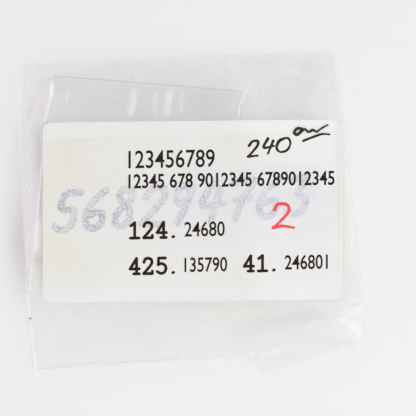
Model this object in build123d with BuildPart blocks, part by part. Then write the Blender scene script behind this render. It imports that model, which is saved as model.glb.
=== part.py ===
from build123d import *
import os
from math import cos, radians, sin

os.makedirs("parts", exist_ok=True)

# A flat square watch crystal, kept loose in its clear bag. The bag is one film
# folded at its closed end and seamed along both sides, with its mouth left open.
# A base label is stuck on the outside of the bag, and a print label over that.
# Millimetres. X runs across the bag, Y runs up to its closed end, Z is up, and
# the origin is under the middle of the bag's box, on the face it lies on.

# Crystal
crystal_width = 32.4
crystal_height = 31.3
crystal_thickness = 2.0
crystal_corner_radius = 0.5
crystal_bevel = 0.25
crystal_turn = -7.4

# Film bag
film_thickness = 0.08
bag_width = 53.2
bag_length = 51.4
side_flare = 3.5
lip_reach = 3.1
seam_width = 0.45
seam_height = 0.2
side_flank_run = 0.35
flat_margin = 0.6
peak_height = 1.9
peak_inset = 6.0
peak_drop = 2.7
peak_reach = 8.5
peak_label_gap = 0.4

# Room that the film leaves round the crystal
side_room = 0.2
end_room = 1.6
slip_gap = 0.05
head_room = 0.15

# Labels
base_label_width = 50.0
base_label_height = 30.0
base_label_radius = 1.5
print_label_width = 49.5
print_label_height = 24.9
print_label_radius = 0.6
paper_thickness = 0.08
adhesive_thickness = 0.025
label_turn = -2.3
label_side_gap = 0.3
label_mouth_gap = 10.55
print_label_shift = -0.15

overrun = 1.0

# The right side swings out towards the mouth and is pushed in at its corner:
# shares of side_flare outwards, and of bag_length down from the closed end.
right_side_shares = ((0.0, 0.0), (0.68, 0.785), (1.0, 0.868), (0.76, 0.925), (0.16, 0.979))

# The back film's lip past the mouth: shares of the way across the mouth from the
# left side, and of lip_reach outwards.
lip_tip_share = 0.726
lip_shares = ((0.64, 0.0), (0.672, 0.25), (lip_tip_share, 1.0), (0.827, 0.7), (0.937, 0.28))

# Foot of the crumpled corner's peak on its mouth side, as shares of peak_reach
# from the peak, and on its label side, as a share of the label's half width
peak_mouth_side_shares = ((-1.0, 0.0), (-0.5, -0.42))
peak_label_side_share = 0.75

# Plan of the bag
left_x = -(bag_width + side_flare) / 2
right_x = left_x + bag_width
mouth_rise = bag_length * (1 - right_side_shares[-1][1])
lip_tip_drop = lip_reach - lip_tip_share * mouth_rise
closed_y = (bag_length + lip_tip_drop) / 2
mouth_left_y = closed_y - bag_length
seam_inner_x = left_x + seam_width
fold_inner_y = closed_y - seam_width
right_side = [(right_x + out * side_flare, closed_y - down * bag_length) for out, down in right_side_shares]
right_inner = [(x - seam_width, y) for x, y in right_side]
corner_x, corner_y = right_side[-1]
mouth_slope = (corner_y - mouth_left_y) / (corner_x - left_x)


def mouth_y(x):
    """The mouth's straight edge, at a place across the bag."""
    return mouth_left_y + mouth_slope * (x - left_x)


lip = []
for across, reach in lip_shares:
    lip_x = left_x + across * (corner_x - left_x)
    lip.append((lip_x, mouth_y(lip_x) - reach * lip_reach))

# Heights
crystal_bottom = film_thickness + slip_gap
crystal_top = crystal_bottom + crystal_thickness
seam_level = seam_height - film_thickness
plateau_level = crystal_top + head_room

# The crystal leans into the corner of the left seam and the closed end. The film
# keeps side_room round it, so room_reach is half the span of that larger square.
crystal_angle = abs(radians(crystal_turn))
room_half_width = crystal_width / 2 + side_room
room_half_height = crystal_height / 2 + side_room
room_reach_x = room_half_width * cos(crystal_angle) + room_half_height * sin(crystal_angle)
crystal_reach_y = (crystal_height * cos(crystal_angle) + crystal_width * sin(crystal_angle)) / 2
crystal_x = seam_inner_x + side_flank_run + film_thickness + room_reach_x
crystal_y = fold_inner_y - end_room - crystal_reach_y
crystal_plane = Plane((crystal_x, crystal_y, crystal_bottom)).rotated((0, 0, crystal_turn))
label_x = right_x - label_side_gap - base_label_width / 2
label_y = mouth_left_y + label_mouth_gap + base_label_height / 2
base_plane = Plane((label_x, label_y, 0)).rotated((0, 0, label_turn))
print_plane = Plane((label_x + print_label_shift, label_y, 0)).rotated((0, 0, label_turn))


def plan_point(plane, x, y):
    """A point given on a turned plane, as X and Y of the bag."""
    point = plane.from_local_coords(Vector(x, y, 0))
    return point.X, point.Y


# Crest of the front film: level over the crystal and over its whole way out
past_mouth_y = mouth_left_y - lip_reach - overrun
crest_end_left = plan_point(crystal_plane, -room_half_width, room_half_height)
crest_end_right = plan_point(crystal_plane, room_half_width, room_half_height)
crest_side_left = plan_point(crystal_plane, -room_half_width, -room_half_height)
plateau_right_x = crest_end_right[0]
slope_foot_x = right_inner[0][0] - flat_margin

# Peak of the crumpled corner, just past the label's lower right corner
peak_x = right_side[2][0] - peak_inset
label_foot = -base_label_height / 2 - peak_label_gap
label_foot_right = plan_point(base_plane, base_label_width / 2, label_foot)
peak_y = label_foot_right[1] - peak_drop
peak_foot = [
    (right_inner[2][0], label_foot_right[1]),
    plan_point(base_plane, peak_label_side_share * base_label_width / 2, label_foot),
    *[(peak_x + x * peak_reach, peak_y + y * peak_reach) for x, y in peak_mouth_side_shares],
    *reversed(right_inner[2:]),
]

# Crystal: a flat plate with eased corners and a bevel round both faces
with BuildPart() as crystal:
    with BuildSketch(crystal_plane):
        RectangleRounded(crystal_width, crystal_height, crystal_corner_radius)
    extrude(amount=crystal_thickness)
    faces_of_plate = crystal.faces().filter_by(Axis.Z)
    chamfer(faces_of_plate.edges(), length=crystal_bevel)
crystal.part.label = "crystal"

# Left seam: a thin welded bead along the whole side
with BuildPart() as left_side_seam:
    with BuildSketch():
        with BuildLine():
            Polyline(
                (left_x, closed_y),
                (seam_inner_x, closed_y),
                (seam_inner_x, mouth_y(seam_inner_x)),
                (left_x, mouth_left_y),
                close=True,
            )
        make_face()
    extrude(amount=seam_height)
left_side_seam.part.label = "left_side_seam"

# Right seam: the same bead, following the side round the pushed-in corner
with BuildPart() as right_side_seam:
    with BuildSketch():
        with BuildLine():
            Polyline(*right_side, *reversed(right_inner), close=True)
        make_face()
    extrude(amount=seam_height)
right_side_seam.part.label = "right_side_seam"

# Fold at the closed end, where one film turns from the front to the back
with BuildPart() as closed_end_fold:
    with BuildSketch(Plane.YZ.offset(seam_inner_x)):
        with BuildLine():
            Polyline(
                (closed_y - seam_height / 2, seam_height),
                (fold_inner_y, seam_height),
                (fold_inner_y, 0),
                (closed_y - seam_height / 2, 0),
            )
            ThreePointArc(
                (closed_y - seam_height / 2, 0),
                (closed_y, seam_height / 2),
                (closed_y - seam_height / 2, seam_height),
            )
        make_face()
    extrude(amount=bag_width)
    with BuildSketch():
        with BuildLine():
            Polyline(
                (seam_inner_x, closed_y),
                right_inner[0],
                right_inner[1],
                (seam_inner_x, right_inner[1][1]),
                close=True,
            )
        make_face()
    extrude(amount=seam_height, mode=Mode.INTERSECT)
closed_end_fold.part.label = "closed_end_fold"

# Back film: flat on the table, with the lip that shows past the mouth
with BuildPart() as bag_back_film:
    with BuildSketch():
        with BuildLine():
            Polyline(
                (seam_inner_x, closed_y),
                *right_inner,
                *reversed(lip),
                (seam_inner_x, mouth_y(seam_inner_x)),
                close=True,
            )
        make_face()
    extrude(amount=film_thickness)
    split(bisect_by=Plane.XZ.offset(-fold_inner_y), keep=Keep.TOP)
bag_back_film.part.label = "bag_back_film"


def flank_plane(a, b, c):
    """The plane through three points, facing up."""
    a, b, c = Vector(*a), Vector(*b), Vector(*c)
    facing = (b - a).cross(c - a)
    return Plane(origin=a, x_dir=b - a, z_dir=facing if facing.Z > 0 else -facing)


def film_tent(wall, level):
    """The bulk under the front film: under its inner face where wall is the film's
    thickness, and under its outer face where wall is nothing."""
    top = level + plateau_level - seam_level
    inset = film_thickness - wall
    foot_left_x = seam_inner_x + wall
    foot_end_y = fold_inner_y - wall
    end_left = (crest_end_left[0] - inset, crest_end_left[1] + inset, top)
    end_right = (crest_end_right[0], crest_end_right[1] + inset, top)
    side_left = (crest_side_left[0] - inset, crest_side_left[1], top)
    foot_left = (foot_left_x, foot_end_y, level)
    foot_right = (slope_foot_x, foot_end_y, level)
    left_wall = (foot_left, (foot_left_x, past_mouth_y, level), side_left)
    left_flank = (end_left, side_left, foot_left)
    end_wall = (foot_left, foot_right, end_left)
    end_flank = (end_left, end_right, foot_right)
    right_slope = (end_right, foot_right, (slope_foot_x, past_mouth_y, level))
    with BuildPart() as tent:
        with BuildSketch(Plane.XY.offset(level)):
            with BuildLine():
                Polyline(
                    (foot_left_x, foot_end_y),
                    (slope_foot_x, foot_end_y),
                    (slope_foot_x, past_mouth_y),
                    (foot_left_x, past_mouth_y),
                    close=True,
                )
            make_face()
        extrude(amount=top - level)
        for corners in (left_wall, left_flank, end_wall, end_flank, right_slope):
            split(bisect_by=flank_plane(*corners), keep=Keep.BOTTOM)
    return tent.part


def corner_peak(level):
    """The crumpled corner as a low faceted peak that stands on level."""
    with BuildPart() as peak:
        with BuildSketch(Plane.XY.offset(level)) as foot:
            with BuildLine():
                Polyline(*peak_foot, close=True)
            make_face()
        loft([foot.sketch.face(), Vertex(peak_x, peak_y, level + peak_height)], ruled=True)
    return peak.part


outer_tent = film_tent(0, seam_height)
inner_tent = film_tent(film_thickness, seam_level)
outer_peak = corner_peak(seam_height)
inner_peak = corner_peak(seam_level)

# Front film: flat along its seams, raised over the crystal and its way out, and
# one film thickness deep everywhere
with BuildPart() as bag_front_film:
    with BuildSketch(Plane.XY.offset(seam_level)):
        with BuildLine():
            front_outline = Polyline(
                (seam_inner_x, closed_y),
                *right_inner,
                (seam_inner_x, mouth_y(seam_inner_x)),
                close=True,
            )
        make_face()
    extrude(amount=film_thickness)
    add(outer_tent)
    add(outer_peak)
    with BuildSketch(Plane.XY.offset(seam_level)):
        with BuildLine():
            add(front_outline)
        make_face()
    extrude(amount=plateau_level + film_thickness, mode=Mode.INTERSECT)
    add(inner_tent, mode=Mode.SUBTRACT)
    add(inner_peak, mode=Mode.SUBTRACT)
    split(bisect_by=Plane.XZ.offset(-fold_inner_y), keep=Keep.TOP)
bag_front_film.part.label = "bag_front_film"


def label_layer(name, plane, width, height, radius, lift, thickness):
    """A thin layer that follows the front film, lift above the film's outer face."""
    low = film_thickness + lift
    high = low + thickness
    far_left = left_x - bag_width
    far_right = right_x + bag_width
    with BuildPart() as layer:
        with BuildSketch(Plane.XZ.offset(-closed_y)):
            with BuildLine():
                Polyline(
                    (far_left, plateau_level + low),
                    (plateau_right_x, plateau_level + low),
                    (slope_foot_x, seam_level + low),
                    (far_right, seam_level + low),
                    (far_right, seam_level + high),
                    (slope_foot_x, seam_level + high),
                    (plateau_right_x, plateau_level + high),
                    (far_left, plateau_level + high),
                    close=True,
                )
            make_face()
        extrude(amount=bag_length)
        with BuildSketch(plane):
            RectangleRounded(width, height, radius)
        extrude(amount=plateau_level + high, mode=Mode.INTERSECT)
    layer.part.label = name
    return layer.part


base_size = (base_label_width, base_label_height, base_label_radius)
print_size = (print_label_width, print_label_height, print_label_radius)
base_paper_lift = adhesive_thickness
print_adhesive_lift = base_paper_lift + paper_thickness
print_paper_lift = print_adhesive_lift + adhesive_thickness

label_parts = [
    label_layer("base_label_adhesive", base_plane, *base_size, 0, adhesive_thickness),
    label_layer("base_label_paper", base_plane, *base_size, base_paper_lift, paper_thickness),
    label_layer("print_label_adhesive", print_plane, *print_size, print_adhesive_lift, adhesive_thickness),
    label_layer("print_label_paper", print_plane, *print_size, print_paper_lift, paper_thickness),
]

bag_parts = [
    crystal.part,
    left_side_seam.part,
    right_side_seam.part,
    closed_end_fold.part,
    bag_back_film.part,
    bag_front_film.part,
]

for piece in bag_parts + label_parts:
    export_step(piece, f"parts/{piece.label}.step")
    print(piece.label, round(piece.volume, 3), piece.bounding_box())
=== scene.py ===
import bpy
import numpy as np
from math import cos, pi, radians, sin
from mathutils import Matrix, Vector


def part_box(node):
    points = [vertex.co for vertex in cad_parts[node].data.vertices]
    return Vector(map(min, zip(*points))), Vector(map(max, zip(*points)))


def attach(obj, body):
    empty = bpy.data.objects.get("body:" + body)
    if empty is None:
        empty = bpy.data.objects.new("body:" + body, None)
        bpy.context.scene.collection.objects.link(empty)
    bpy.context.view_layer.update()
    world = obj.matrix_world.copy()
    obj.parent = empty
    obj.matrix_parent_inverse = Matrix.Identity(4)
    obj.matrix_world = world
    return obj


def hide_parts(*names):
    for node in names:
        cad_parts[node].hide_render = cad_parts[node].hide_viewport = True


# A flat watch crystal kept in its clear film bag, with two paper labels on the front.
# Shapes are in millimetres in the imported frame, and turn to metres as a mesh is made.

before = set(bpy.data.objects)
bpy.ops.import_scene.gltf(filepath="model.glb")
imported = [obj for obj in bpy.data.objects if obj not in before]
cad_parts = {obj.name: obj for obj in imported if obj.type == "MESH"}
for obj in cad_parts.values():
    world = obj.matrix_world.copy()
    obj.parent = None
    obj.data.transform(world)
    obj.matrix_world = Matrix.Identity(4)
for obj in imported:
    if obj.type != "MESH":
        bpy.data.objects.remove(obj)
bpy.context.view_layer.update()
scene = bpy.context.scene
mm = 0.001


def boxMm(nodeName):  # lowest and highest corner of a node
    low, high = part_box(nodeName)
    return np.array(low) / mm, np.array(high) / mm


# Helpers for shapes

def ease(t):
    t = np.clip(t, 0, 1)
    return t * t * (3 - 2 * t)


def bell(t):
    return np.exp(-t ** 2)


def fadeEnds(along, rate):  # 0 at a line's ends and 1 between
    return ease(along * rate) * ease((1 - along) * rate)


def softMin(a, b, reach):  # the lower of two surfaces, with a rounded edge between them
    near = np.maximum(reach - np.abs(a - b), 0) / reach
    return np.minimum(a, b) - near * near * reach / 4


def softMax(a, b, reach):
    return -softMin(-a, -b, reach)


def ripple(x, y, cell, seed):  # soft lumps between -1 and 1, a cell across
    size = 64
    heights = np.random.RandomState(seed).uniform(-1, 1, (size, size))
    column, row = np.floor(x / cell).astype(int), np.floor(y / cell).astype(int)
    s, t = ease(x / cell - column), ease(y / cell - row)
    left, right, under, over = column % size, (column + 1) % size, row % size, (row + 1) % size
    low, high = (heights[at, left] * (1 - s) + heights[at, right] * s for at in (under, over))
    return low * (1 - t) + high * t


def runs(*stretches):  # places in a row, from (start, end, step)
    places = [np.arange(start, end - step / 2, step) for start, end, step in stretches]
    return np.concatenate(places + [[stretches[-1][1]]])


def lineDistance(x, y, points):  # how far off a line of points, and how far along it from 0 to 1
    steps = [np.hypot(bx - ax, by - ay) for (ax, ay), (bx, by) in zip(points, points[1:])]
    off, along, walked = np.full(x.shape, 1e3), np.zeros(x.shape), 0
    for (ax, ay), (bx, by), step in zip(points, points[1:], steps):
        t = np.clip(((x - ax) * (bx - ax) + (y - ay) * (by - ay)) / step ** 2, 0, 1)
        here = np.hypot(x - ax - t * (bx - ax), y - ay - t * (by - ay))
        along = np.where(here < off, (walked + t * step) / sum(steps), along)
        off = np.minimum(here, off)
        walked += step
    return off, along


def walkedAlong(points):
    return np.concatenate([[0], np.cumsum(np.hypot(*np.diff(points, axis=0).T))])


def smoothLine(points, step):  # even steps on a smooth curve through these
    points = np.array(points, float)
    if len(points) > 2:
        ends = np.vstack([2 * points[0] - points[1], points, 2 * points[-1] - points[-2]])
        t = np.linspace(0, 1, 12, endpoint=False)[:, None]
        parts = []
        for a, b, c, d in zip(ends, ends[1:], ends[2:], ends[3:]):
            bend = b + t * (c - a) / 2 + t ** 2 * (a - 2.5 * b + 2 * c - d / 2)
            parts.append(bend + t ** 3 * (1.5 * (b - c) + (d - a) / 2))
        points = np.vstack(parts + [points[-1:]])
    walked = walkedAlong(points)
    places = np.linspace(0, walked[-1], max(int(walked[-1] / step), 1) + 1)
    return np.stack([np.interp(places, walked, points[:, i]) for i in (0, 1)], axis=1)


def turned(u, v, centre, angle, upAngle=None):  # turns a place, and moves it to the centre
    upAngle = angle if upAngle is None else upAngle
    return centre[0] + u * cos(angle) - v * sin(upAngle), centre[1] + u * sin(angle) + v * cos(upAngle)


def addMark(piece, mark, values):  # a share at each point, which materials read by name
    layer = piece.data.attributes.new(mark, "FLOAT", "POINT")
    layer.data.foreach_set("value", values.ravel().astype(np.float32))


def addMesh(name, points, faces, material, sharpAngle=50):
    mesh = bpy.data.meshes.new(name)
    mesh.from_pydata((np.asarray(points) * mm).tolist(), [], faces)
    mesh.polygons.foreach_set("use_smooth", [True] * len(mesh.polygons))
    mesh.set_sharp_from_angle(angle=radians(sharpAngle))
    mesh.materials.append(material)
    piece = bpy.data.objects.new(name, mesh)
    scene.collection.objects.link(piece)
    return piece


def closedSheet(name, x, y, z, thickness, material, rimMaterial=None, **marks):
    # x, y and z hold rows x columns of places on the top of the sheet
    outer = np.stack([x, y, z], -1)
    across, along = np.gradient(outer, axis=1), np.gradient(outer, axis=0)
    normals = np.cross(across, along)
    normals /= np.linalg.norm(normals, axis=2, keepdims=True)
    inner = outer - normals * thickness
    rows, columns = outer.shape[:2]
    count = rows * columns
    index = np.arange(count).reshape(rows, columns)
    top = np.stack([index[:-1, :-1], index[:-1, 1:], index[1:, 1:], index[1:, :-1]], -1).reshape(-1, 4)
    rim = np.concatenate([index[0, :], index[1:, -1], index[-1, -2::-1], index[-2:0:-1, 0]])
    after = np.roll(rim, -1)
    walls = np.stack([rim + count, after + count, after, rim], -1)
    faces = np.concatenate([top, top[:, ::-1] + count, walls])
    points = np.concatenate([outer.reshape(-1, 3), inner.reshape(-1, 3)])
    piece = addMesh(name, points, faces.tolist(), material)
    if rimMaterial:
        piece.data.materials.append(rimMaterial)
        piece.data.polygons.foreach_set("material_index", [0] * (2 * len(top)) + [1] * len(walls))
    for mark, values in marks.items():
        addMark(piece, mark, np.tile(values.ravel(), 2))
    return piece


# Helpers for materials
work = {}  # its "tree" is where new nodes go


def startTree(owner):  # a material or the world
    owner.use_nodes = True
    owner.node_tree.nodes.clear()
    work["tree"] = owner.node_tree


def addNode(kind, inputs, **settings):  # gives the new node's outputs
    made = work["tree"].nodes.new("ShaderNode" + kind)
    for name, value in settings.items():
        setattr(made, name, value)
    for name, value in inputs.items():
        if isinstance(value, bpy.types.NodeSocket):
            work["tree"].links.new(value, made.inputs[name])
        else:
            made.inputs[name].default_value = value
    return made.outputs


def mathNode(operation, a, b, clamp=False):
    return addNode("Math", {0: a, 1: b}, operation=operation, use_clamp=clamp)[0]


def times(a, b, clamp=False):
    return mathNode("MULTIPLY", a, b, clamp)


def markNode(mark):
    return addNode("Attribute", {}, attribute_name=mark)["Fac"]


def bumpNode(height, strength, depth):  # depth in mm
    return addNode("Bump", {"Strength": strength, "Distance": depth * mm, "Height": height})[0]


def spread(value, low, high, start, end):  # from low to high becomes from start to end
    ends = {"From Min": low, "From Max": high, "To Min": start, "To Max": end}
    return addNode("MapRange", {"Value": value, **ends})[0]


def noiseNode(size, detail=2, stretch=(1, 1, 1)):  # cloudy, with lumps this big in mm
    place = addNode("TexCoord", {})["Object"]
    place = addNode("Mapping", {"Vector": place, "Scale": stretch})[0]
    return addNode("TexNoise", {"Vector": place, "Scale": 1 / (size * mm), "Detail": detail})["Fac"]


def asColour(value):  # a colour, or what a node gives
    return value if isinstance(value, bpy.types.NodeSocket) else (*value, 1)


def scaled(colour, factor):
    return tuple(c * factor for c in colour)


def mixColour(factor, a, b):
    return addNode("Mix", {"Factor": factor, 6: asColour(a), 7: asColour(b)}, data_type="RGBA")[2]


def clearSkin(colour):
    return addNode("BsdfTransparent", {"Color": asColour(colour)})[0]


def solidSkin(colour, roughness, shine=0.5, **inputs):
    inputs = {"Base Color": asColour(colour), "Roughness": roughness, "Specular IOR Level": shine, **inputs}
    return addNode("BsdfPrincipled", inputs)[0]


def mixSkins(share, a, b):
    return addNode("MixShader", {0: share, 1: a, 2: b})[0]


def shareForRays(share, lampShare):  # less of it for the light that goes to what lies below
    path = addNode("LightPath", {})
    passing = mathNode("MAXIMUM", path["Is Shadow Ray"], path["Is Diffuse Ray"])
    return times(share, spread(passing, 0, 1, 1, lampShare))


def asMaterial(surfaceOf):  # makes a material of a surface's nodes
    def make(name, *looks):
        made = bpy.data.materials.new(name)
        startTree(made)
        addNode("OutputMaterial", {"Surface": surfaceOf(*looks)})
        return made
    return make


print("helpers ready")


# Film
film = {
    "thickness": 0.08, "clearTint": (1, 1, 0.999),
    "tints": {  # what the clear film turns to where a mark is full; the shade tint is painted shade
        "pink": (0.999, 0.984, 0.9995),
        "beige": (1, 0.998, 0.984),
        "shade": (0.9, 0.9, 0.905),
    },
    "milkColour": (0.93, 0.93, 0.93), "milkRoughness": 0.35, "milkShine": 0.25,
    "haze": 0.035,  # share that is milky all over
    "creaseWhite": 0.55,  # how white a sharp crease turns, and how bright the painted highlights are
    "straightGloss": 0.028, "glancingGloss": 0.97, "roughness": 0.17,
    "lampShare": 0.25,
}


@asMaterial
def filmMaterial(look):
    bump = bumpNode(noiseNode(1.6, 3), 0.35, 0.04)
    facing = addNode("LayerWeight", {"Blend": 0.5})["Facing"]
    glancing = times(mathNode("POWER", facing, 5), look["glancingGloss"])
    shine = mathNode("ADD", glancing, look["straightGloss"])
    shine = times(shine, mathNode("SUBTRACT", 1, markNode("dull")))
    haze = times(noiseNode(3, 4), look["haze"] * 2)
    # milky where the film is creased and where highlights are painted
    milk = mathNode("ADD", times(markNode("crease"), look["creaseWhite"]), haze, True)
    shine, milk = (shareForRays(share, look["lampShare"]) for share in (shine, milk))
    tone = look["clearTint"]
    for mark, tint in look["tints"].items():
        tone = mixColour(markNode(mark), tone, tint)
    gloss = addNode("BsdfGlossy", {"Color": (1, 1, 1, 1), "Roughness": look["roughness"], "Normal": bump})[0]
    milky = solidSkin(look["milkColour"], look["milkRoughness"], look["milkShine"], Normal=bump)
    return mixSkins(milk, mixSkins(shine, clearSkin(tone), gloss), milky)


filmSkin = filmMaterial("clear_film", film)
foldSkin = filmMaterial("folded_film", {**film, "glancingGloss": 0, "haze": 0.015, "roughness": 0.5})

(leftX, mouthY, _), (innerLeftX, closedY, footZ) = boxMm("left_side_seam")
(innerRightX, cornerY, _), (rightmostX, _, _) = boxMm("right_side_seam")
topZ = boxMm("bag_front_film")[1][2]
crystalLow, crystalHigh = boxMm("crystal")
weldWidth = innerLeftX - leftX
flare = rightmostX - innerRightX - weldWidth

bag = {
    # tables: shares of the length or width, and what is read there
    # how far the right side swings out towards the mouth, in shares of the flare
    "out": ((-0.1, 0, 0.785, 0.868, 0.925, 0.979), (0, 0, 0.68, 1, 0.76, 0.16)),
    # how far the left side is bowed outwards
    "bow": ((0, 0.13, 0.25, 0.4, 0.52, 0.62, 0.7, 0.745, 0.795, 0.83, 0.87, 0.93, 1),
            (-0.36, -0.17, 0.05, 0.18, 0.32, 0.38, 0.84, 0.95, 0.56, 0.56, 0.4, 0.2, 0.08)),
    # how far the front film's open edge lies above the straight mouth line
    "rise": ((0, 0.19, 0.32, 0.44, 0.53, 0.6, 0.645, 0.76, 0.8, 0.92, 0.96, 1),
             (0.05, 0.5, 0.25, 0.2, 0.1, 0.1, 0.4, 0.2, 0.95, 1.95, 2.1, 0.7)),
    # and where the back film's lip ends, off the same line
    "lip": ((0, 0.64, 0.668, 0.712, 0.735, 0.79, 0.84, 0.937, 1),
            (0, 0, -0.7, -2.95, -3.1, -2.55, -2.1, -0.85, 0)),
    "bowFade": 3.2,  # how far in from the left weld the bow is felt
    "flareFrom": 4,  # and from where on the flare is
}
bagLength = closedY - mouthY
foldY = closedY - weldWidth
cornerX = innerRightX + weldWidth + bag["out"][1][-1] * flare
mouthSlope = (cornerY - mouthY) / (cornerX - leftX)


def rounded(kind, place, reach):  # one of the bag's tables, read with its corners rounded off
    shifts = (-1, -0.6, -0.2, 0.2, 0.6, 1)
    return sum(np.interp(place + shift * reach, *bag[kind]) for shift in shifts) / len(shifts)


def flareAt(y):
    return flare * rounded("out", (closedY - y) / bagLength, 0.012)


def bowAt(y):
    return rounded("bow", (closedY - y) / bagLength, 0.035)


def openEdge(x, kind, reach):  # a film's edge at the mouth
    return mouthY + mouthSlope * (x - leftX) + rounded(kind, (x - leftX) / (cornerX - leftX), reach)


def frontEdge(x):
    return openEdge(x, "rise", 0.008) + 0.06 * ripple(x, x, 1.1, 21)


def backEdge(x):
    return openEdge(x, "lip", 0.012) + 0.05 * ripple(x, x, 1.7, 22)


def bowed(x, y):  # how far a place moves with the left side's bow
    return bowAt(y) * ease((innerLeftX + bag["bowFade"] - x) / bag["bowFade"])


def sideways(x, y):  # bends straight columns to the bowed left side and the flared right side
    x = x - bowed(x, y)
    return x + flareAt(y) * ease((x - bag["flareFrom"]) / (innerRightX - bag["flareFrom"]))


def filmGrid(columns, shares, edgeAt):  # straight columns, and bent places from open edge to fold
    gridX, gridV = np.meshgrid(columns, shares)
    edge = edgeAt(sideways(gridX, foldY + (gridV - 1) * bagLength))
    gridY = edge + gridV * (foldY - edge)
    return gridX, sideways(gridX, gridY), gridY


# Roof of the front film: level over the crystal and its way out, sloping to the right
plate = {
    "centre": (crystalLow + crystalHigh)[:2] / 2, "width": 32.4, "height": 31.3,
    "turn": radians(-7.4), "room": 0.2,
}
slopeFootX = innerRightX - 0.6
pastMouthY = mouthY - 5
labels = {
    "baseCentre": sum(boxMm("base_label_paper"))[:2] / 2,
    "printCentre": sum(boxMm("print_label_paper"))[:2] / 2, "turn": radians(-2.3),
    "baseSize": (50, 30, 1.5),  # width, height, corner radius
    "printSize": (49.5, 24.9, 0.6),
    # pulled a hair out of square: turns of the long and of the short edges
    "baseTurns": (radians(-2.12), radians(-2.8)),
    "printTurns": (radians(-1.6), radians(-2.6)), "glue": 0.025, "paper": 0.08,
}


def crystalCorner(signX, signY):
    halfX, halfY = (plate[side] / 2 + plate["room"] for side in ("width", "height"))
    return turned(signX * halfX, signY * halfY, plate["centre"], plate["turn"])


def planeHeight(x, y, a, b, c):
    normal = np.cross(np.subtract(b, a), np.subtract(c, a))
    return a[2] - (normal[0] * (x - a[0]) + normal[1] * (y - a[1])) / normal[2]


def labelSlope(x):
    crestX = crystalCorner(1, 1)[0]
    return topZ - (x - crestX) * (topZ - footZ) / (slopeFootX - crestX)


def roofLine(x):  # the level and the right slope alone, which the labels follow
    return softMax(softMin(topZ, labelSlope(x), 0.3), footZ, 0.08)


def filmTent(x, y):
    thick = film["thickness"]
    (endLeftX, endLeftY), (endRightX, endRightY), (sideX, sideY) = (
        crystalCorner(*signs) for signs in ((-1, 1), (1, 1), (-1, -1)))
    endLeft, endRight = (endLeftX - thick, endLeftY + thick, topZ), (endRightX, endRightY + thick, topZ)
    sideLeft, sideFoot = (sideX - thick, sideY, topZ), (innerLeftX, pastMouthY, footZ)
    footLeft, footRight = (innerLeftX, foldY, footZ), (slopeFootX, foldY, footZ)
    slopes = (  # three places on each, and how far its edge is rounded
        (endLeft, endRight, footRight, 0.5),
        (endLeft, sideLeft, footLeft, 0.22),
        (footLeft, footRight, endLeft, 0.3),
        (footLeft, sideFoot, sideLeft, 0.15),
    )
    tent = softMin(topZ, labelSlope(x), 0.3)
    for a, b, c, reach in slopes:
        tent = softMin(tent, planeHeight(x, y, a, b, c), reach)
    return softMax(tent, footZ, 0.08)


# Crumpled corner: a faceted peak between the label's lower right corner and the mouth
peak = {
    "height": 1.9, "inset": 6, "drop": 2.7, "reach": 8.5, "labelGap": 0.4,
    "labelSideShare": 0.75, "mouthSideShares": ((-1, 0), (-0.5, -0.42)),
}


def rightInner(down):  # inner line of the right weld, at a share of the length
    out = np.interp(down, *bag["out"])
    return innerRightX + out * flare, closedY - down * bagLength


labelWidth, labelHeight = labels["baseSize"][:2]
labelFoot = -labelHeight / 2 - peak["labelGap"]
labelFootRight, labelFootLeft = (
    turned(share * labelWidth / 2, labelFoot, labels["baseCentre"], labels["turn"])
    for share in (1, peak["labelSideShare"]))
peakX = rightmostX - peak["inset"]
peakY = labelFootRight[1] - peak["drop"]
peakFoot = [
    (rightInner(bag["out"][0][3])[0], labelFootRight[1]),
    labelFootLeft,
    *[(peakX + x * peak["reach"], peakY + y * peak["reach"]) for x, y in peak["mouthSideShares"]],
    *[rightInner(down) for down in bag["out"][0][:2:-1]],  # up from the corner to where it swings out most
]


def peakHeight(x, y):  # straight facets from the apex down to each side of the foot
    share = np.full(x.shape, 9)
    for (ax, ay), (bx, by) in zip(peakFoot, peakFoot[1:] + peakFoot[:1]):
        ax, ay, bx, by = ax - peakX, ay - peakY, bx - peakX, by - peakY
        whole = ax * by - bx * ay
        s = ((x - peakX) * by - (y - peakY) * bx) / whole
        t = ((y - peakY) * ax - (x - peakX) * ay) / whole
        share = np.where((s >= -0.001) & (t >= -0.001), np.minimum(share, s + t), share)
    return footZ + peak["height"] * (1 - share)


# Creases and painted highlights of the front film: points, height, half width and how white it turns, in
# millimetres. The white is partly the film's own whitening at a fold and partly a painted highlight, and
# lines with no height are painted highlights alone.

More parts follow.
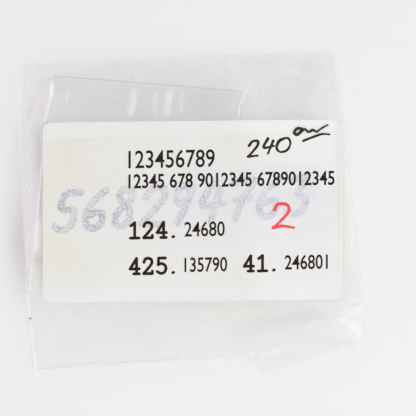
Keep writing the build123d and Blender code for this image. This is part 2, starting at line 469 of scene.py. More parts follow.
creases = (
    # the crystal's left edge and the film beside it
    ((-23, 24.6), (-23.15, 22.8), (-23.4, 21), (-23.8, 19.2), (-24.5, 16.4), 0.08, 0.27, 0.95),
    ((-23, 23.9), (-22.98, 22.3), (-23.25, 20.4), 0.03, 0.42, 0.85),
    ((-24.4, 16.8), (-24.9, 12.4), (-25.5, 8.2), (-25.9, 4.1), 0.02, 0.2, 0.7),
    ((-25.75, 7.2), (-26, 5), (-26.45, 0.8), (-26.95, -3.6), (-27.4, -5.8), 0, 0.27, 0.8),
    ((-26.3, 1.6), (-26.7, -2), (-27.1, -5), 0, 0.58, 0.8),
    ((-27.3, -6), (-28.1, -8.4), (-28.8, -12), 0, 0.6, 0.4),
    # folds down to the left weld
    ((-23.7, 22.3), (-25.6, 20.4), (-27.3, 17.6), -0.1, 0.45, 0),
    ((-24.9, 15), (-26.5, 12), (-27.3, 7.5), -0.05, 0.4, 0),
    # over the crystal's right end and its top strip
    ((9.75, 21.3), (8.6, 19.4), (8.05, 17.8), (7.75, 15.6), 0.09, 0.22, 0.6),
    ((9.3, 21.9), (10.1, 22), 0.03, 0.18, 0), ((-9.25, 22.2), (-9.45, 20), (-10.3, 16.8), 0, 0.62, 0.5),
    ((-5.7, 21.4), (-6.1, 16.7), 0, 0.42, 0.3), ((-3.1, 21.9), (-4.1, 16.6), 0, 0.52, 0.5),
    ((-1.3, 21.2), (-1.7, 17), 0, 0.32, 0.26), ((-8, 25.5), (-8.4, 23), 0, 0.55, 0.26),
    ((-20.42, 21.7), (-20.5, 20.2), 0, 0.17, 0.75),
    # slack film past the crystal
    ((12.4, 22), (15.1, 23.6), (18.7, 24.5), 0.07, 0.75, 0.18),
    ((12.1, 21.6), (11.5, 15.6), 0.05, 0.5, 0.12), ((16.6, 23.8), (14.6, 19.6), (14.2, 16), 0.05, 0.8, 0),
    ((19.5, 22.5), (17, 18.5), (16.5, 15.4), -0.04, 0.9, 0), ((20.2, 20), (20, 17.2), 0.02, 0.4, 0.12),
    # fanning out of the crumpled corner
    ((22.3, -17.8), (18, -18.7), (13, -20.1), (8.3, -21.4), 0.05, 0.42, 0.1),
    ((22.3, -17.8), (19, -18.9), (15.4, -20), 0.04, 0.4, 0.12),
    ((22.3, -17.8), (19, -16.6), (12, -16), (3, -15.6), -0.04, 0.6, 0),
    ((21.8, -18.4), (17, -19.6), (9, -21.2), -0.04, 0.5, 0),
    ((21.6, -18.4), (24.4, -16.3), (26.6, -14.6), 0, 0.5, 0.42),
    ((22.4, -18), (24.6, -18.9), (26, -20.4), (26, -22.2), 0, 0.6, 0.34),
    ((22.4, -18.1), (22.6, -20), (22.2, -21.6), 0.01, 0.5, 0.1),
    # crinkles along the mouth, and soft waves above it
    ((7.6, -23.3), (8.3, -22.9), (8.9, -23.4), 0.07, 0.2, 0.6),
    ((9.4, -23.2), (10.1, -22.8), (10.8, -23.4), 0.07, 0.2, 0.6),
    ((11.2, -23.2), (12, -22.7), (12.9, -23.3), 0.07, 0.22, 0.45),
    ((-27.2, -18.6), (-22, -17.9), (-14, -18.8), 0.03, 0.9, 0),
    ((-24, -22.6), (-14, -21.4), (-4, -22.4), 0.03, 0.8, 0.05),
)

# Soft tones in the film, by kind: points, half width and strength. The shade marks are painted shade, such
# as the label's shadow beside it; the white marks are painted highlights and painted light; the pink marks
# paint a pinkish cast of shade over the left and top.
tones = {"pink": (
    ((-26.6, 25.5), (-27, 18), (-27.3, 8), (-27.6, 0), (-27.7, -6.5), 2.4, 0.72),
    ((-24.3, 24.4), (-24.8, 20), (-25.4, 16.6), 0.8, 0.6),
    ((-24.9, 14.5), (-25.9, 5), (-26.5, 0.5), 0.7, 0.6), ((-23, 25.2), (-8, 24.4), (8, 23.4), 2, 0.48),
    ((-15, 20.2), (-6, 19.6), (8, 18.8), 2.2, 0.42), ((-21.9, 16.6), (-6, 15.9), (8.3, 15.3), 0.65, 0.95),
    ((10, 18.6), (19.5, 17.8), 1.3, 0.4),
), "beige": (
    ((-21.9, 16.6), (-6, 15.9), (8.3, 15.3), 0.7, 0.6), ((8, 15.9), (14, 15.5), (25, 15.2), 0.9, 0.45),
    ((26.4, 14.5), (26.2, 2), (26.6, -12), 2.2, 0.75),
    ((-22, -16.4), (-4, -16.6), (12, -16.4), (23, -15.8), 2.4, 0.12),
    ((-1.2, -14.5), (10, -14.9), (21.6, -15.3), 0.34, 1), ((8, -18.5), (16, -18.6), (25, -18.2), 2.4, 0.3),
), "shade": (
    ((-25.5, 16.6), (-25.8, 12), (-25.9, 8.2), 0.6, 0.52),
    ((-24.3, 23), (-24.9, 19), (-25.4, 16.2), 0.55, 0.08), ((-22.5, 25.2), (-8, 25), (6, 24.4), 1.5, 0.19),
    ((-21, 20.4), (-6, 19.6), (8.2, 18.6), 2.6, 0.17), ((-2, 19.2), (8.2, 18.2), 2, 0.13),
    ((-25.6, 21.6), (-26.5, 19.9), (-27.5, 17.6), 0.38, 0.44), ((-24.3, 24.4), (-24.5, 22.4), 0.75, 0.14),
    ((-22.3, 23.7), (-21.9, 21.9), 0.5, 0.22), ((-26.9, -6.2), (-26.3, -6.1), (-25.7, -5.2), 0.55, 0.62),
    ((-26.4, -6.4), (-26.1, -7.6), (-25.9, -9.8), 0.7, 0.32),
    ((-19, -18.6), (-10, -18), (0, -17.4), 1.8, 0.06), ((6.5, -18), (13, -17.8), (21.6, -17.2), 1.2, 0.3),
    ((4, -19.6), (8, -19), 1.4, 0.09), ((19, -22), (21, -21.6), (22.8, -20.9), 0.26, 0.3),
    ((11, 23.5), (17, 21.5), (23, 20.5), 3.6, 0.22), ((10, 16.6), (16, 16.2), (22, 16.2), 1.6, 0.16),
    ((10.2, 18.2), (14, 18.4), (18.6, 18), 1.7, 0.12), ((1, 21.4), (4, 21.9), (6.8, 22), 1.6, 0.2),
    ((-8, 23.4), (0, 23.2), 1.2, 0.12), ((8, 25.6), (14, 25.2), 1.3, 0.12),
    ((18.6, 24.7), (23.5, 23.8), 1.6, 0.12), ((6.5, -22.6), (11.5, -23), 1, 0.12),
    ((-23.8, 24), (-20.6, 22.6), (-17, 22.3), 1.3, 0.13),
    ((8.6, -19.4), (14, -19.5), (19, -19.9), 0.9, 0.14),
), "white": (
    ((-27.4, 23.6), (-27.5, 16), (-27.5, 6), (-27.7, -6), 1.2, 0.41),
    ((-27.7, 24.4), (-27.4, 23.6), 0.9, 0.3), ((24.6, 26), (25.2, 16), 0.5, 0.25),
    ((25.6, 14), (25.6, 3), (25.9, -12), 1.3, 0.54), ((23.2, -17.2), (25, -16.1), (26.6, -15.1), 0.9, 0.4),
    ((25, -17), (27.2, -15.8), 1.2, 0.36), ((25.7, -19.2), (26.3, -21.4), 1, 0.24),
), "dull": (
    ((23.4, -18.6), (25.6, -20.4), 2.2, 0.94), ((-26.8, 24), (-27.1, 12), (-27.1, -7), 1.3, 0.95),
)}

# Painted highlight spots: place, radius, height, how white
highlightSpots = (
    ((17.9, 23.2), 0.42, 0, 0.3), ((7, 25.3), 0.6, 0, 0.3), ((9.95, 21.35), 0.26, 0, 0.9),
    ((-22.95, 24.55), 0.34, 0, 0.62), ((-8.9, -16), 0.22, 0, 0.4), ((22.3, -17.8), 0.3, 0, 0.55),
)

slack = {  # the film is slack past the crystal and below the labels
    "from": 9.5, "wave": 0.12, "lowFrom": -12.5, "lowWave": 0.07, "fineWave": 0.012,
    "fade": 3, "rimFade": 1.5, "labelFade": 1.1, "peakRound": 0.12,
    "wayDrop": 0.06,  # how far under the roof it may hang over the crystal and its way out
    "wayLeft": 0.1, "wayRight": 0.3, "labelRoom": 0.004,
}


def creaseShapes(x, y):
    height, white = np.zeros(x.shape), np.zeros(x.shape)
    profiles = []
    for *points, rise, width, whiteness in creases:
        off, along = lineDistance(x, y, points)
        profiles.append((bell(off / width) * fadeEnds(along, 5), rise, whiteness))
    for (centreX, centreY), radius, rise, whiteness in highlightSpots:
        profiles.append((bell(np.hypot(x - centreX, y - centreY) / radius), rise, whiteness))
    for profile, rise, whiteness in profiles:
        height += rise * profile
        white = np.maximum(white, whiteness * profile)
    return height, white


def filmTones(x, y):  # the soft marks of the film, by kind
    marks = {}
    for kind, strokes in tones.items():
        mark = np.zeros(x.shape)
        for *points, width, strength in strokes:
            off, along = lineDistance(x, y, points)
            mark += strength * bell(off / width) * (0.35 + 0.65 * fadeEnds(along, 4))
        marks[kind] = np.clip(mark, 0, 1)
    return marks


def labelInside(x, y, margin):  # 1 under the base label, easing to 0 over the margin
    dx, dy = x - labels["baseCentre"][0], y - labels["baseCentre"][1]
    u, v = turned(dx, dy, (0, 0), -labels["turn"])
    return 1 - ease(np.maximum(np.abs(u) - labelWidth / 2, np.abs(v) - labelHeight / 2) / margin)


def labelWave(x, y):
    return 0.03 * ripple(x, y, 13, 3) + 0.012 * ripple(x, y, 4.5, 4)


def frontHeight(x, y, bentX):  # x is the place before the left side's bow
    tent, (raised, white) = filmTent(x, y), creaseShapes(bentX, y)
    past, low = ease((x - slack["from"]) / slack["fade"]), ease((slack["lowFrom"] - y) / slack["fade"])
    inner = ease((x - innerLeftX) / slack["rimFade"]) * ease((foldY - y) / slack["rimFade"])
    wave = slack["wave"] * past * (0.5 + 0.5 * ripple(x + 0.6 * y, y, 4.2, 5))
    wave += slack["lowWave"] * low * ripple(x * 0.45, y, 2.6, 6)
    wave += slack["fineWave"] * ripple(x, y, 0.9, 7)
    under = labelInside(x, y, slack["labelFade"])
    shape = softMax(tent, peakHeight(x, y), slack["peakRound"])
    shape = shape + (1 - under) * (wave * inner + raised) + labelWave(x, y) * inner
    overWay = (x > crystalLow[0] - slack["wayLeft"]) & (x < crystalHigh[0] + slack["wayRight"])
    shape = np.where(overWay, np.maximum(shape, np.minimum(tent, topZ - slack["wayDrop"])), shape)
    shape = np.maximum(shape, footZ)
    ceiling = roofLine(x) + labelWave(x, y) - slack["labelRoom"]
    return np.where(under > 0.97, np.minimum(shape, ceiling), shape), white


hem = {  # on the left, painted shade just inside the open edge and a painted highlight at its rim
    "shade": (0.3, 0.38, 0.16),  # strength, middle and reach
    "white": (0.35, 0, 0.14), "fadeFrom": 2, "fade": 8,
}
fineTo = innerLeftX + 0.6
columns = runs((innerLeftX, fineTo, 0.045), (fineTo, -21, 0.15), (-21, innerRightX, 0.22))
gridX, bentX, gridY = filmGrid(columns, np.linspace(0, 1, 235), frontEdge)
gridZ, white = frontHeight(bentX + bowed(gridX, gridY), gridY, bentX)
marks = filmTones(bentX, gridY)
leftward = ease((hem["fadeFrom"] - bentX) / hem["fade"])
shaded, whitened = (
    strength * bell((gridY - frontEdge(bentX) - middle) / reach) * leftward
    for strength, middle, reach in (hem["shade"], hem["white"]))
marks["shade"] += shaded
white = np.maximum(white, marks.pop("white")) + whitened
frontFilm = closedSheet("front_film", bentX, gridY, gridZ, film["thickness"], filmSkin,
                        foldSkin, crease=np.clip(white, 0, 1), **marks)
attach(frontFilm, "bag")
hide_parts("bag_front_film")
print("front film:", len(frontFilm.data.vertices), "points")

# Back film, flat on the table, with its lip curled up a little past the mouth
back = {
    "thickness": 0.076, "lipCurl": 0.55, "lipWhite": 0.3, "lipBeige": 0.5,
    "lipFrom": 9.5, "wave": 0.015,
}
columns = runs((innerLeftX, innerRightX, 0.35))
gridX, bentX, gridY = filmGrid(columns, np.linspace(0, 1, 150) ** 1.15, backEdge)
lipShare = ease((frontEdge(bentX) - gridY) / 2.6) * ease((bentX - back["lipFrom"]) / 2)
gridZ = film["thickness"] + back["lipCurl"] * lipShare * (0.75 + 0.25 * ripple(bentX, gridY, 1.8, 9))
gridZ += back["wave"] * (1 + ripple(bentX, gridY, 3, 8)) / 2
marks = {"crease": back["lipWhite"] * lipShare, "beige": back["lipBeige"] * lipShare}
backFilm = closedSheet("back_film", bentX, gridY, gridZ, back["thickness"], filmSkin, foldSkin, **marks)
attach(backFilm, "bag")
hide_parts("bag_back_film")

# Fold at the closed end, where the front film turns under to the back
gridX, gridTurn = np.meshgrid(runs((innerLeftX, innerRightX, 0.5)), np.linspace(pi / 2, -pi / 2, 13))
foldRadius = footZ / 2
gridY = foldY + weldWidth - foldRadius + foldRadius * np.cos(gridTurn)
gridY[0], gridY[-1] = foldY, foldY
gridZ = foldRadius + foldRadius * np.sin(gridTurn)
closedFold = closedSheet("closed_fold", sideways(gridX, gridY), gridY, gridZ, 0.072, foldSkin,
                         crease=np.zeros(gridX.shape))
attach(closedFold, "bag")
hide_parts("closed_end_fold")
print("back film and fold done")

# Welds along both sides: a thin bead that was melted, so it wanders a little
weld = {
    "colour": (0.95, 0.95, 0.95), "clearTint": (0.995, 0.995, 0.995),
    "roughness": 0.35, "white": 0.62, "sootColour": (0.03, 0.03, 0.035),
    "leftMilk": (0.1, 0.42, -8, 3),  # least, more from this height down, over this length
    "rightMilk": (0.03, 0.07, -12, 4),
    "sootAt": -15.6,  # a speck of dirt on the left weld
    "sootReach": 0.13, "step": 0.12, "wander": 0.03, "lampShare": 0.4,
}


@asMaterial
def weldMaterial(look):
    lumps = noiseNode(0.7)
    share = times(markNode("milk"), mathNode("ADD", lumps, look["white"]), True)
    share = shareForRays(share, look["lampShare"])
    tone = mixColour(markNode("soot"), look["colour"], look["sootColour"])
    solid = solidSkin(tone, look["roughness"], Normal=bumpNode(lumps, 0.5, 0.08))
    return mixSkins(share, clearSkin(look["clearTint"]), solid)


weldSkin = weldMaterial("melted_weld", weld)


def weldBead(name, side, lowest, highest, milk, sootAt=99):  # side -1 is the left, 1 the right
    y = np.linspace(lowest, highest, int((highest - lowest) / weld["step"]))
    inner = sideways(innerLeftX if side < 0 else innerRightX, y)
    width = weldWidth + weld["wander"] * ripple(y, y, 1.3, 30 + side)
    around = np.linspace(0, 2 * pi, 11)[:-1]
    half, mid, count = footZ / 2, inner + side * width / 2, len(around)
    points = np.stack(np.broadcast_arrays(
        mid[:, None] + width[:, None] / 2 * np.cos(around), y[:, None], half + half * np.sin(around)), -1)
    faces = []
    for start in range(0, (len(y) - 1) * count, count):
        for k in range(count):
            a, b = start + k, start + (k + 1) % count
            faces.append((a + count, b + count, b, a))
    order = range(len(y) * count)
    faces += [tuple(order[:count]), tuple(order[-count:])[::-1]]
    piece = addMesh(name, points.reshape(-1, 3), faces, weldSkin)
    soot = ease(1.5 - np.abs(y - sootAt) / weld["sootReach"])[:, None] * (np.cos(around) > 0.2)
    crest = ((1 + np.abs(np.sin(around))) / 2) ** 3
    least, more, start, fade = milk
    milk = least + more * ease((start - y) / fade)
    addMark(piece, "milk", np.maximum(milk[:, None] * crest, soot))
    addMark(piece, "soot", soot)
    return piece


leftWeld = weldBead("left_weld", -1, mouthY, closedY, weld["leftMilk"], weld["sootAt"])
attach(leftWeld, "bag")
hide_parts("left_side_seam")
rightWeld = weldBead("right_weld", 1, cornerY, closedY, weld["rightMilk"])
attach(rightWeld, "bag")
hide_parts("right_side_seam")
print("welds done")

# Crystal: the imported plate with a glass finish, and its bevels a little greyer, partly a ground finish and
# partly painted shade; the far edge is darker still, painted shade for the dark line along it
glass = {
    "tint": (0.977, 0.972, 0.984), "edgeTint": (0.82, 0.81, 0.85),
    "farEdgeShade": (0.7, 0.69, 0.74), "reflected": (0.8, 0.72, 1),
    "refraction": 1.5,
}


@asMaterial
def glassMaterial(tint, look):
    coat = {"Transmission Weight": 1, "Specular Tint": asColour(look["reflected"])}
    body = solidSkin(tint, 0, IOR=look["refraction"], **coat)
    return mixSkins(shareForRays(1, 0), clearSkin(look["tint"]), body)


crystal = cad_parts["crystal"]
crystal.data.materials.clear()
for name, tint in (("glass", "tint"), ("edge", "edgeTint"), ("far_edge", "farEdgeShade")):
    crystal.data.materials.append(glassMaterial("crystal_" + name, glass[tint], glass))
for face in crystal.data.polygons:
    # faces that look to the far side take the darker tint, painted shade
    edgeIndex = 2 if face.normal.y > 0.6 else 1
    face.material_index = 0 if abs(face.normal.z) > 0.9 else edgeIndex
print("crystal finished")

# Labels: layers of glue and paper that bend with the film's roof
paper = {
    "baseColour": (0.833, 0.833, 0.826), "printColour": (0.825, 0.825, 0.815),
    "agedColour": (0.79, 0.76, 0.68), "dulledColour": (0.735, 0.73, 0.75),
    "markerColour": (0.4, 0.4, 0.54), "markerStrength": 0.47,
    "glueColour": (0.84, 0.8, 0.66), "glueTint": (0.984, 0.978, 0.955),
    "roughness": 0.62, "shine": 0.35, "glueRoughness": 0.4, "glueLampShare": 0.12,
}


@asMaterial
def paperMaterial(colour, look):
    fibre = noiseNode(0.35, 4, (1, 1.6, 1))
    speck = spread(noiseNode(0.33, 3), 0.43, 0.6, 0.45, 1.65)
    mottle = spread(noiseNode(0.42, 4), 0.32, 0.68, 0.45, 1.15)
    tone = mixColour(times(fibre, 0.1), colour, scaled(colour, 0.8))
    tone = mixColour(markNode("dulled"), tone, look["dulledColour"])
    cloudy = mathNode("ADD", noiseNode(5, 3), 0.45)
    agedShare = times(markNode("aged"), cloudy, True)
    tone = mixColour(times(agedShare, mottle, True), tone, look["agedColour"])
    marked = times(markNode("marker"), look["markerStrength"])
    tone = mixColour(times(marked, speck, True), tone, look["markerColour"])
    return solidSkin(tone, look["roughness"], look["shine"], Normal=bumpNode(fibre, 0.35, 0.02))


@asMaterial
def glueMaterial(look):
    streaks = times(noiseNode(0.8), 0.4)
    share = shareForRays(mathNode("ADD", streaks, 0.4, True), look["glueLampShare"])
    solid = solidSkin(look["glueColour"], look["glueRoughness"])
    return mixSkins(share, clearSkin(look["glueTint"]), solid)


def labelTop(x, y, lift):
    return roofLine(x) + labelWave(x, y) + lift


def labelSheet(name, label, topLift, thickness, step, skin, **shares):  # shares are functions of the place
    width, height, radius = labels[label + "Size"]
    u = np.linspace(-1, 1, int(width / step) + 1)
    fromEdge = radius * (1 - np.cos(np.linspace(0, pi / 2, 7)))
    v = np.concatenate([
        -height / 2 + fromEdge[:-1],
        np.linspace(-height / 2 + radius, height / 2 - radius, int((height - 2 * radius) / step) + 1),
        height / 2 - fromEdge[:-1][::-1]])
    gridU, gridV = np.meshgrid(u, v)
    intoCorner = np.clip(np.abs(gridV) - (height / 2 - radius), 0, radius)
    gridU *= width / 2 - radius + np.sqrt(np.maximum(radius ** 2 - intoCorner ** 2, 0))
    x, y = turned(gridU, gridV, labels[label + "Centre"], *labels[label + "Turns"])
    marks = {mark: share(gridU, gridV) for mark, share in shares.items()}
    return closedSheet(name, x, y, labelTop(x, y, topLift), thickness, skin, **marks)


# Marker strokes that show through the print label, in hundredths of a digit's box
markerDigits = {
    "2": (((6, 72), (28, 98), (66, 96), (72, 70), (38, 36), (0, 4)), ((0, 4), (74, 0))),
    "3": (((12, 94), (66, 98), (34, 60), (68, 36), (44, 3), (0, 8)),),
    "4": (((36, 100), (2, 42), (78, 46)), ((62, 84), (42, 0))),
    "5": (((78, 100), (26, 96), (16, 56), (60, 54), (60, 16), (24, 0), (0, 12)),),
    "6": (((66, 100), (22, 70), (2, 26), (26, 0), (62, 14), (56, 44), (12, 36)),),
    "7": (((6, 96), (78, 100), (44, 52), (24, 0)), ((20, 50), (68, 56))),
    "8": (((58, 88), (28, 100), (14, 76), (56, 44), (50, 8), (14, 2), (10, 34), (54, 66), (60, 92)),),
    "9": (((64, 80), (38, 100), (10, 78), (26, 50), (60, 68), (66, 96)), ((66, 94), (48, 40), (26, 0))),
}
markerRow = {
    "digits": "568294763", "left": -22.9, "right": 20.2, "lowLeft": -2.8,
    "lowRight": -1, "height": 6.3, "width": 4.6, "slant": 0.16, "halfStroke": 0.6,
}


def markerLines():
    width, height, digits = markerRow["width"], markerRow["height"], markerRow["digits"]
    places = np.linspace(markerRow["left"], markerRow["right"] - width, len(digits))
    lows = np.linspace(markerRow["lowLeft"], markerRow["lowRight"], len(digits))
    lines = []
    for digit, left, low in zip(digits, places, lows):
        for stroke in markerDigits[digit]:
            u, v = np.array(stroke).T / 100
            points = np.stack([left + (u + v * markerRow["slant"]) * width, low + v * height], 1)
            lines.append(smoothLine(points, 0.8))
    return lines


def markerShare(u, v):
    share = np.zeros(u.shape)
    for line in markerLines():
        off, _ = lineDistance(u, v, line)
        edge = (off - markerRow["halfStroke"]) / 0.28
        share = np.maximum(share, (0.78 + 0.22 * bell(edge + 1)) * (1 - ease(edge + 0.5)))
    return share * (0.82 + 0.3 * ripple(u, v, 1.4, 19)) * (1 + 0.3 * ease((-8 - u) / 8))


# Patches of the labels: centre, reach and strength
agedPatches = (
    ((-22, 8), (9, 7), 0.95), ((-19, -1), (11, 9), 0.6), ((-21, -9), (9, 5), 0.55),
    ((8, 10.4), (5.5, 3.2), 0.8), ((8, -11.4), (8, 2.2), 0.45), ((24.4, 0), (0.5, 14), 0.9),
    ((-14, 11.5), (14, 1.6), 0.45), ((-24.4, 2), (0.8, 12), 0.6), ((0, -9), (20, 4), 0.2),
    ((-14, 12.45), (12, 0.24), 1.5), ((8, 12.45), (6, 0.24), 1.2),  # glue line along the top edge
)
# greyer patches of the paper, mostly on the right half
dulledPatches = (
    ((16, 4), (11, 4.5), 0.85), ((-2, 3.5), (12, 6), 0.45), ((20, -4), (8, 8), 0.55),
    ((5, -2.5), (13, 5), 0.38), ((18, -11), (9, 3), 0.3),
)
baseGreyer = (((18, -13.4), (12, 3.5), 0.34),)


def patchShare(patches, u, v):
    share = np.zeros(u.shape)
    for (centreU, centreV), (reachU, reachV), strength in patches:
        share += strength * np.exp(-((u - centreU) / reachU) ** 2 - ((v - centreV) / reachV) ** 2)
    return np.clip(share * (0.8 + 0.3 * ripple(u, v, 2.2, 12)), 0, 1)


def edgeAged(u, v):  # the base label ages from its edges
    return np.clip(0.15 * (np.maximum(np.abs(u) - 24, 0) + np.maximum(np.abs(v) - 14.4, 0)), 0, 0.3)


basePaper = paperMaterial("base_paper", paper["baseColour"], paper)
printPaper = paperMaterial("print_paper", paper["printColour"], paper)
glueSkin = glueMaterial("label_glue", paper)

glueThick, paperThick = labels["glue"], labels["paper"]
baseGlueTop, baseTop, printGlueTop, printTop = np.cumsum([glueThick, paperThick] * 2)
baseGlue = labelSheet("base_label_glue", "base", baseGlueTop, glueThick, 0.6, glueSkin)
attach(baseGlue, "bag")
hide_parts("base_label_adhesive")

baseLabel = labelSheet("base_label", "base", baseTop, paperThick, 0.3, basePaper, aged=edgeAged,
                       dulled=lambda u, v: patchShare(baseGreyer, u, v))
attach(baseLabel, "bag")
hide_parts("base_label_paper")

printGlue = labelSheet("print_label_glue", "print", printGlueTop, glueThick, 0.6, glueSkin)
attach(printGlue, "bag")
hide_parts("print_label_adhesive")

printLabel = labelSheet("print_label", "print", printTop, paperThick, 0.2, printPaper, marker=markerShare,
                        aged=lambda u, v: patchShare(agedPatches, u, v),
                        dulled=lambda u, v: patchShare(dulledPatches, u, v))
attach(printLabel, "bag")
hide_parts("print_label_paper")
print("labels done")

# Ink on the print label, laid on its bent top: printed digits, pen and red pen
ink = {
    "black": (0.022, 0.0105, 0.0045), "penBlack": (0.029, 0.019, 0.012),
    "red": (0.87, 0.075, 0.09), "shine": 0.06, "thickness": 0.012,
    "turn": radians(-0.15),  # the print runs a little askew on its label
    "sunk": 0.004,  # how far its underside lies in the paper
}


@asMaterial
def inkMaterial(colour, roughness, fade):
    grain = noiseNode(0.12)
    faded = tuple(min(c * 1.4 + 0.05, 1) for c in colour)
    tone = mixColour(times(grain, fade), colour, faded)
    return solidSkin(tone, roughness, ink["shine"], Normal=bumpNode(grain, 0.3, 0.01))


printInk = inkMaterial("printed_ink", ink["black"], 0.55, 0.25)
penInk = inkMaterial("pen_ink", ink["penBlack"], 0.4, 0.35)
redInk = inkMaterial("red_ink", ink["red"], 0.4, 0.3)


def onPrint(u, v, lift):  # a place on the print label's top, lift above it
    u, v = turned(u, v, (0, 0), ink["turn"])
    x, y = turned(u, v, labels["printCentre"], *labels["printTurns"])
    return np.stack([x, y, labelTop(x, y, printTop) + lift], -1)


def printedDigits(name, text, left, right, low, high, bold):  # fills the given place
    curve = bpy.data.curves.new(name, "FONT")
    curve.body = text
    curve.extrude = 1
    curve.offset = bold
    curve.resolution_u = 4
    holder = bpy.data.objects.new(name, curve)
    scene.collection.objects.link(holder)
    mesh = bpy.data.meshes.new_from_object(holder.evaluated_get(bpy.context.evaluated_depsgraph_get()))
    bpy.data.objects.remove(holder)
    points = np.array([vertex.co for vertex in mesh.vertices])
    faces = [tuple(face.vertices) for face in mesh.polygons]
    bpy.data.meshes.remove(mesh)
    lowest, highest = points.min(0), points.max(0)
    share = (points - lowest) / (highest - lowest)
    u, v = left + share[:, 0] * (right - left), low + share[:, 1] * (high - low)
    lift = np.where(share[:, 2] > 0.5, ink["thickness"], -ink["sunk"])
    return addMesh(name, onPrint(u, v, lift), faces, printInk, 30)


def strokeShape(line, halfWidth, taper, uneven):  # both sides of a pen stroke with round ends
    direction = np.gradient(line, axis=0)
    direction /= np.linalg.norm(direction, axis=1, keepdims=True)
    walked = walkedAlong(line)
    width = halfWidth * (1 - taper * ease(walked / walked[-1]))
    width *= 1 + uneven * ripple(walked, walked + line[0, 0], 1.1, 15)
    caps = np.array([-1, -0.94, -0.75, -0.4])
    before = line[0] + caps[:, None] * width[0] * direction[0]
    beyond = line[-1] - caps[::-1, None] * width[-1] * direction[-1]
    capWidth = np.sqrt(np.maximum(1 - caps ** 2, 0.01))
    centre = np.vstack([before, line, beyond])
    heading = np.vstack([np.repeat(direction[:1], 4, 0), direction, np.repeat(direction[-1:], 4, 0)])
    width = np.concatenate([capWidth * width[0], width, capWidth[::-1] * width[-1]])
    side = np.stack([-heading[:, 1], heading[:, 0]], 1) * width[:, None]
    return centre + side, centre - side


def penStrokes(name, strokes, halfWidth, material, box, taper=0.25, lift=0, uneven=0.22):
    left, low, width, height = box
    points, faces = [], []
    for order, stroke in enumerate(strokes):
        line = smoothLine([(left + u / 100 * width, low + v / 100 * height) for u, v in stroke], 0.1)
        above, below = strokeShape(line, halfWidth, taper, uneven)
        base, count = len(points), len(above)
        rise = ink["thickness"] + lift + 0.001 * order
        for edge, level in ((above, rise), (below, rise), (below, -ink["sunk"]), (above, -ink["sunk"])):
            points += list(onPrint(edge[:, 0], edge[:, 1], level))
        for i in range(count - 1):
            for ring in range(4):
                a, b = base + ring * count + i, base + (ring + 1) % 4 * count + i
                faces.append((a, b, b + 1, a + 1))
        faces.append(tuple(base + ring * count for ring in (3, 2, 1, 0)))
        faces.append(tuple(base + ring * count + count - 1 for ring in range(4)))
    return addMesh(name, np.array(points), faces, material, 40)


# Typewriter digits with feet, as strokes in hundredths of their box
slabDigits = {
    "1": (((18, 80), (52, 100)), ((52, 100), (52, 0)), ((14, 0), (90, 0))),
    "2": (((14, 74), (24, 94), (52, 100), (80, 90), (82, 66), (58, 40), (12, 2)),
          ((12, 0), (88, 0)), ((88, 0), (88, 16))),
    "4": (((68, 100), (10, 32)), ((10, 32), (92, 32)), ((68, 100), (68, 0)), ((44, 0), (92, 0))),
    "5": (((82, 100), (24, 100)), ((24, 100), (20, 56)),
          ((20, 56), (48, 64), (80, 52), (88, 30), (72, 6), (42, 0), (12, 12))),
    ".": (((30, 3), (36, 5)),),
}


def slabStrokes(text, pitch):  # the strokes of a row of typewriter digits
    strokes = [(i, stroke) for i, digit in enumerate(text) for stroke in slabDigits[digit]]
    return [[(u * 0.82 + i * pitch, v) for u, v in stroke] for i, stroke in strokes]


rowSizes = {  # text, left, right, low, high and how bold
    "topRow": ("123456789", -10.6, 3.75, 7.25, 10.25, 0.008),
    "longRow": ("12345 678 9012345 6789012345", -10.6, 23.75, 3.9, 6.35, 0.018),
    "thirdRow": ("24680", -1.3, 5.4, -4.25, -1.75, 0.01),
    "fourthRow": ("135790", -1.3, 5.8, -10.15, -7.7, 0.012),
    "fourthRowRight": ("246801", 15.4, 22.6, -10.05, -7.6, 0.012),
}
for name, settings in rowSizes.items():
    row = printedDigits("print_" + name, *settings)
    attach(row, "bag")

slabs = {  # text, left, low, width and height of a digit
    "boldThird": ("124.", -10.55, -4.3, 2.3, 2.55),
    "boldFourth": ("425.", -10.55, -10.25, 2.3, 2.55),
    "boldFourthRight": ("41.", 8.45, -10.15, 2.3, 2.55),
}
for name, (text, *box) in slabs.items():
    row = penStrokes("print_" + name, slabStrokes(text, 98), 0.235, printInk, box, taper=0, uneven=0.08)
    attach(row, "bag")

penWriting = (
    ((2, 62), (10, 84), (22, 86), (22, 64), (10, 30), (0, 6)), ((0, 6), (22, 10)),
    ((46, 98), (36, 52), (60, 60)), ((58, 86), (46, 20)),
    ((86, 100), (72, 84), (66, 50), (74, 28), (90, 36), (98, 70), (94, 96), (86, 100)),
)
penNumber = penStrokes("pen_number", penWriting, 0.23, penInk, (9.3, 8.7, 7.2, 3.2))
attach(penNumber, "bag")
flourish = (
    ((24, 62), (10, 66), (0, 20), (10, -2), (24, 40), (34, 56), (44, 26), (58, 46),
     (70, 28), (86, 66), (104, 100)),
    ((28, -72), (55, -35), (85, -2), (110, -5)),
)
penFlourish = penStrokes("pen_flourish", flourish, 0.24, penInk, (17, 12.45, 5.4, 1.5), 0.45, uneven=0.32)
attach(penFlourish, "bag")
redWriting = (((5, 76), (22, 98), (62, 96), (72, 70), (40, 36), (0, 4)), ((0, 4), (40, 10), (95, 2)))
redDigit = penStrokes("red_digit", redWriting, 0.3, redInk, (13.5, -3.15, 3.6, 4.1), 0.3, lift=0.004)
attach(redDigit, "bag")
print("ink done")

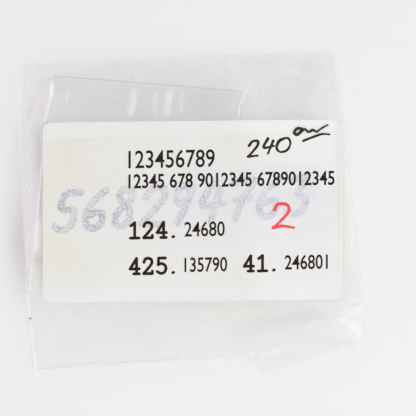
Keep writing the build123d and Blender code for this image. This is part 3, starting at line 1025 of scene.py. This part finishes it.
# Table, lights and camera
table = {
    "size": 3,  # metres
    "colour": (0.858, 0.858, 0.861), "roughness": 0.9,
    "tintEdge": -28.65,  # under the left seam
    "tintFade": 0.45,
    "paintedShadow": (  # painted shadow on the table past the left seam, broad and grey with a pinkish core: middle, reach, tint
        ((-29.1, 8), (2, 12), (0.96, 0.95, 0.955)),
        ((-29.4, -3), (2.3, 7), (0.838, 0.795, 0.792)),
    ),
    "paintedLight": (  # painted light on the table under the film by the left seam, and painted highlights under the crumpled corner: middle, reach, tint
        ((-27.6, 4), (1.5, 15), (1.058, 1.036, 1.056)),
        ((25.9, -15.4), (1.1, 0.8), (1.15, 1.155, 1.14)),
        ((24.2, -16.5), (0.9, 0.6), (1.12, 1.125, 1.11)),
        ((25.8, -19.7), (1.2, 0.8), (1.08, 1.09, 1.075)),
    ),
}


@asMaterial
def tableMaterial(look):
    cloud = times(noiseNode(60, 1), 0.2)
    tone = mixColour(cloud, look["colour"], scaled(look["colour"], 0.97))
    place = addNode("SeparateXYZ", {0: addNode("NewGeometry", {})["Position"]})
    past = mathNode("SUBTRACT", look["tintEdge"] * mm, place[0])
    outside = mathNode("DIVIDE", past, look["tintFade"] * mm, True)
    inside = mathNode("SUBTRACT", 1, outside)
    # painted shadow past the left seam, painted light inside it
    sides = [(outside, *mark) for mark in look["paintedShadow"]]
    sides += [(inside, *mark) for mark in look["paintedLight"]]
    for side, middle, reach, tint in sides:
        away = []
        for axis in (0, 1):
            share = mathNode("SUBTRACT", place[axis], middle[axis] * mm)
            share = mathNode("DIVIDE", share, reach[axis] * mm)
            away.append(times(share, share))
        fall = times(mathNode("ADD", *away), -1)
        share = times(mathNode("EXPONENT", fall, 0), side)
        tone = mixColour(share, tone, tuple(c * t for c, t in zip(look["colour"], tint)))
    return solidSkin(tone, look["roughness"], 0)


edge = table["size"] / 2 / mm
corners = [(-edge, -edge, 0), (edge, -edge, 0), (edge, edge, 0), (-edge, edge, 0)]
tableTop = addMesh("table_top", corners, [(0, 1, 2, 3)], tableMaterial("table_top", table))

studio = {
    "overhead": 0.47,  # brightness straight up
    "horizon": 1.12,  # brightness low down
    "mirrored": 0.88,  # brightest it gets in a gloss
    "seen": 0.86,  # brightness behind the table
    # two soft lamps: power, size, angle off straight up, turn and distance
    "key": (4.45, 0.9, radians(56), radians(-50), 0.8),
    "side": (2.4, 1, radians(58), 0, 1.6),
}
scene.world = bpy.data.worlds.new("studio")
startTree(scene.world)
upwards = addNode("SeparateXYZ", {0: addNode("TexCoord", {})["Generated"]})[2]
level = spread(upwards, 0, 1, studio["horizon"], studio["overhead"])
rays = addNode("LightPath", {})
mirrored = mathNode("MINIMUM", level, studio["mirrored"])
level = addNode("Mix", {0: rays["Is Glossy Ray"], 2: level, 3: mirrored})[0]
strength = addNode("Mix", {0: rays["Is Camera Ray"], 2: level, 3: studio["seen"]})[0]
sky = addNode("Background", {"Color": (1, 1, 1, 1), "Strength": strength})[0]
addNode("OutputWorld", {"Surface": sky})


def studioLamp(name, power, size, angle, turn, distance):
    lamp = bpy.data.lights.new(name, "AREA")
    lamp.size = size
    lamp.energy = power
    holder = bpy.data.objects.new(name, lamp)
    scene.collection.objects.link(holder)
    across = distance * sin(angle)
    holder.location = (across * cos(turn), across * sin(turn), distance * cos(angle))
    holder.rotation_euler = (0, angle, turn)
    holder.visible_glossy = False  # a mirrored lamp would white out the film seen from behind
    return holder


key = studioLamp("key", *studio["key"])
studioLamp("side", *studio["side"])
throughPaper = bpy.data.collections.new("key_goes_through")  # the papers cast the side lamp's shadow alone
for sheet in (baseLabel, printLabel):
    sheet.visible_diffuse = False  # thin paper lets the sky through to the film
    throughPaper.objects.link(sheet)
for link in throughPaper.collection_objects:
    link.light_linking.link_state = "EXCLUDE"
key.light_linking.blocker_collection = throughPaper

shot = {
    "aim": (2.04, 1.4),  # place on the bag at the middle of the picture
    "width": 69.33,  # across the picture
    "distance": 500, "level": 1.2, "turn": radians(-2.8), "sensor": 36,
}
lens = bpy.data.cameras.new("camera")
lens.sensor_width = shot["sensor"]
lens.lens = shot["sensor"] * shot["distance"] / shot["width"]
lens.clip_start, lens.clip_end = 0.01, 20
camera = bpy.data.objects.new("camera", lens)
camera.location = (shot["aim"][0] * mm, shot["aim"][1] * mm, (shot["distance"] + shot["level"]) * mm)
camera.rotation_euler = (0, 0, shot["turn"])
scene.collection.objects.link(camera)
scene.camera = camera
scene.view_settings.view_transform = "Standard"
scene.cycles.transparent_max_bounces = 32  # two films and the crystal are many clear faces deep
print("table, lights and camera done")
